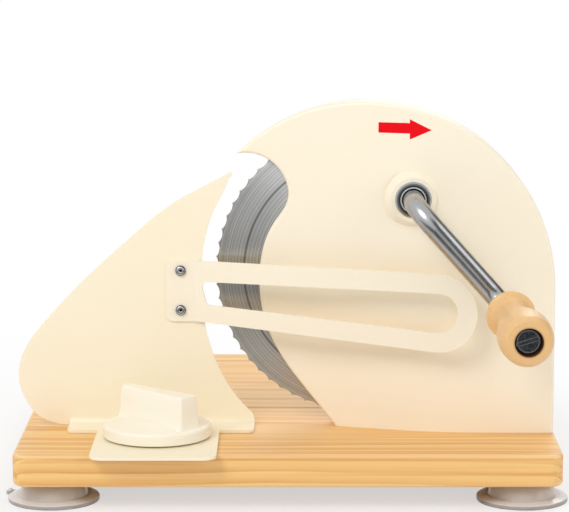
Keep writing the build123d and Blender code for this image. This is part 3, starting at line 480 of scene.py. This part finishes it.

# ---- Handle screw ----
# A slotted screw, blackened in oil, with painted highlights in grey on its rim and along the slot edges.
screw_black = Finish("screw_black")
scratches = screw_black.noise(900.0, 4.0, 0.7)
scale = screw_black.ramp(scratches, (0.0, "#2A2D2F"), (0.45, "#3F4446"), (0.62, "#6A6F71"),
                         (1.0, "#A7ABAC"))
# A painted highlight on the rim of the head.
rim_painted_highlight = screw_black.ramp(screw_black.sum("MULTIPLY", screw_black.reach(grip_bore, grip_axis), 100.0),
                       (0.0, 0.0), (0.60, 0.0), (0.66, 1.0), (0.73, 1.0), (0.76, 0.2))
across_slot = (-0.2924, 0.0, 0.9563)
from_slot = screw_black.tree.nodes.new("ShaderNodeVectorMath")
from_slot.operation = "SUBTRACT"
from_slot.inputs[1].default_value = grip_bore
screw_black.join(screw_black.place, from_slot.inputs[0])
slot_side = screw_black.tree.nodes.new("ShaderNodeVectorMath")
slot_side.operation = "DOT_PRODUCT"
slot_side.inputs[1].default_value = across_slot
screw_black.join(from_slot.outputs[0], slot_side.inputs[0])
slot_painted_highlight = screw_black.ramp(
    screw_black.sum("MULTIPLY", screw_black.sum("ABSOLUTE", slot_side.outputs["Value"]), 400.0),
    (0.0, 0.0), (0.31, 0.0), (0.34, 1.0), (0.48, 1.0), (0.60, 0.0))
# The painted highlights of the rim and slot edges, broken up by the scratches.
painted_highlights = screw_black.sum("MAXIMUM", rim_painted_highlight, slot_painted_highlight)
painted_highlight_share = screw_black.sum("MULTIPLY", painted_highlights, screw_black.between(scratches, 0.2, 0.8))
scale = screw_black.mix(painted_highlight_share, scale, "#C2C5C6")
screw_black.set(Base_Color=scale, Metallic=1.0, Roughness=screw_black.between(scratches, 0.30, 0.50),
                Normal=screw_black.bump(scratches, 0.00006, 0.5))
dress(screw_black, "handle_screw")

# ---- Clamp knob and slide guide ----
# Moulded in off-white plastic, slightly see-through at its thin edges, with a fine spark
# texture. The knob screws down on the guide and holds the plate's foot.
knob_plastic = Finish("knob_plastic")
knob_cloud = knob_plastic.noise(30.0, 2.0)
spark = knob_plastic.noise(3000.0, 2.0)
knob_plastic.set(Base_Color=knob_plastic.mix(knob_cloud, "#FAF3E2", "#F7EFDB"),
                 Roughness=knob_plastic.between(knob_cloud, 0.36, 0.44), Subsurface_Weight=0.10,
                 Subsurface_Scale=0.004, Normal=knob_plastic.bump(spark, 0.00002, 0.3))
dress(knob_plastic, "clamp_knob", "slide_guide")

# ---- Suction cups ----
# Soft vinyl, milky and pale with a warm grey tint. Each is moulded with a stout dome around its
# stud, a groove, a glossy flat lip and a pull tab with a small bead. The colour is graded by
# height as painted shade: the lip's side and the tab are dark grey, the lip's top is pale and the
# dome darkens towards its top, under the board.
cup_vinyl = Finish("cup_vinyl")
cup_cloud = cup_vinyl.noise(60.0, 2.0)
cup_height = cup_vinyl.tree.nodes.new("ShaderNodeSeparateXYZ")
cup_vinyl.join(cup_vinyl.place, cup_height.inputs["Vector"])
# Painted shade by height: dark on the lip's side and the tab, pale on the lip's top, darker up the dome under
# the board.
cup_height_shade = cup_vinyl.ramp(cup_vinyl.sum("MULTIPLY", cup_height.outputs["Z"], 60.0),
                           (0.0, "#96928F"), (0.140, "#A5A19E"), (0.160, "#EBE7E4"), (0.22, "#E8E3DF"),
                           (0.27, "#CDC4BB"), (0.45, "#CFC5BA"), (0.9, "#BFB2A4"))
cup_vinyl.set(Base_Color=cup_vinyl.mix(cup_vinyl.between(cup_cloud, 0.0, 0.25), cup_height_shade, "#EFEBE8"),
              Roughness=cup_vinyl.between(cup_cloud, 0.16, 0.24), Transmission_Weight=0.10, IOR=1.45,
              Subsurface_Weight=0.15, Subsurface_Scale=0.004, Normal=cup_vinyl.bump(cup_cloud, 0.0002, 0.2))
# Radius and height in millimetres: the hollow below, the lip, the groove, the dome, the bore.
cup_profile = ((0.0, 3.2), (7.0, 3.0), (15.0, 1.9), (22.0, 0.5), (26.2, 0.0),
               (29.2, 0.0), (29.4, 0.3), (29.4, 2.3), (29.2, 2.65), (28.7, 2.8),
               (24.2, 4.0), (23.3, 4.1), (22.7, 3.9), (22.2, 4.0), (21.9, 4.5), (21.7, 5.4),
               (21.3, 7.0), (20.7, 8.8), (19.8, 10.6), (18.4, 12.6), (16.6, 14.2), (14.5, 15.0),
               (2.6, 15.0), (2.6, 9.0))
tab_root = 0.0285
tab_tip_centre = 0.0304
tab_half_width = 0.004
tab_bottom = 0.0009
tab_top = 0.0023
bead_radius = 0.0017
bead_place = (0.0318, 0.0, 0.0025)


def suction_cup(node, centre, tab_angle):
    """A cup turned about its stud, with a pull tab that points at tab_angle degrees from +X."""
    form = bmesh.new()
    ring = [form.verts.new((radius / 1000, 0.0, height / 1000)) for radius, height in cup_profile]
    for first, second in zip(ring, ring[1:]):
        form.edges.new((first, second))
    bmesh.ops.spin(form, geom=form.verts[:] + form.edges[:], cent=(0, 0, 0), axis=(0, 0, 1), steps=96,
                   angle=math.radians(360), use_merge=True)
    bmesh.ops.remove_doubles(form, verts=form.verts, dist=0.00001)
    tab_form = []
    for height in (tab_bottom, tab_top):
        edge = [form.verts.new((tab_root, -tab_half_width, height))]
        for step in range(13):
            angle = math.radians(-90 + step * 15)
            edge.append(form.verts.new((tab_tip_centre + tab_half_width * math.cos(angle),
                                        tab_half_width * math.sin(angle), height)))
        edge.append(form.verts.new((tab_root, tab_half_width, height)))
        tab_form.append(edge)
    form.faces.new(tab_form[0][::-1])
    form.faces.new(tab_form[1])
    count = len(tab_form[0])
    for index in range(count):
        after = (index + 1) % count
        form.faces.new((tab_form[0][index], tab_form[0][after], tab_form[1][after], tab_form[1][index]))
    bead = bmesh.ops.create_uvsphere(form, u_segments=20, v_segments=12, radius=bead_radius)["verts"]
    bmesh.ops.translate(form, vec=bead_place, verts=bead)
    turn = Matrix.Rotation(math.radians(tab_angle), 3, "Z")
    bmesh.ops.rotate(form, matrix=turn, cent=(0, 0, 0), verts=form.verts)
    bmesh.ops.translate(form, vec=(*centre, 0.0), verts=form.verts)
    bmesh.ops.recalc_face_normals(form, faces=form.faces)
    mesh = bpy.data.meshes.new(node + "_vinyl")
    form.to_mesh(mesh)
    form.free()
    for polygon in mesh.polygons:
        polygon.use_smooth = True
    mesh.set_sharp_from_angle(angle=math.radians(50))
    mesh.materials.append(cup_vinyl.material)
    cup = bpy.data.objects.new(node + "_vinyl", mesh)
    scene.collection.objects.link(cup)
    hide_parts(node)
    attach(cup, "table" if node.startswith("table") else "base")


cup_spread = 0.151
front_row = -0.09044
rear_row = -0.01244
table_row = 0.17116
suction_cup("cup_front_left", (-cup_spread, front_row), 158.0)
suction_cup("cup_front_right", (cup_spread, front_row), 90.0)
suction_cup("cup_rear_left", (-cup_spread, rear_row), -90.0)
suction_cup("cup_rear_right", (cup_spread, rear_row), -22.0)
suction_cup("table_cup_left", (-cup_spread, table_row), -90.0)
suction_cup("table_cup_right", (cup_spread, table_row), -90.0)

# ---- Red arrow on the housing ----
# A plain arrow, screen printed in red on the enamel, that shows which way the crank turns. It
# is a skin that follows the bowed face of the housing.
arrow_left = 0.0586
arrow_bottom = 0.2288
cell = 0.002
ink_thickness = 0.00008
arrow_outline = ((arrow_left, 0.2327), (0.0787, 0.2327), (0.0787, arrow_bottom), (0.0927, 0.2352),
                 (0.0787, 0.2420), (0.0787, 0.2395), (arrow_left, 0.2395))
arrow_form = bmesh.new()
corners = [arrow_form.verts.new((x, 0.0, z)) for x, z in arrow_outline]
arrow_form.faces.new(corners)
cuts = [((arrow_left + step * cell, 0, 0), (1, 0, 0)) for step in range(1, 18)]
cuts += [((0, 0, arrow_bottom + step * cell), (0, 0, 1)) for step in range(1, 7)]
for place, facing in cuts:
    everything = arrow_form.verts[:] + arrow_form.edges[:] + arrow_form.faces[:]
    bmesh.ops.bisect_plane(arrow_form, geom=everything, plane_co=place, plane_no=facing)
shell_mesh = nodes["housing_shell"].data
shell_skin = BVHTree.FromPolygons([vertex.co for vertex in shell_mesh.vertices],
                                  [polygon.vertices[:] for polygon in shell_mesh.polygons])
for corner in arrow_form.verts:
    in_front = Vector((corner.co.x, -0.3, corner.co.z))
    hit = shell_skin.ray_cast(in_front, Vector((0, 1, 0)))[0]
    corner.co.y = hit.y - ink_thickness
bmesh.ops.recalc_face_normals(arrow_form, faces=arrow_form.faces)
arrow_mesh = bpy.data.meshes.new("direction_arrow")
arrow_form.to_mesh(arrow_mesh)
arrow_form.free()
direction_arrow = bpy.data.objects.new("direction_arrow", arrow_mesh)
scene.collection.objects.link(direction_arrow)
arrow_ink = Finish("arrow_ink")
ink_cloud = arrow_ink.noise(300.0, 3.0)
arrow_ink.set(Base_Color=arrow_ink.mix(ink_cloud, "#E6000F", "#EE0418"),
              Roughness=arrow_ink.between(ink_cloud, 0.55, 0.65), Specular_IOR_Level=0.12,
              Normal=arrow_ink.bump(ink_cloud, 0.00002, 0.3))
arrow_mesh.materials.append(arrow_ink.material)
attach(direction_arrow, "base")
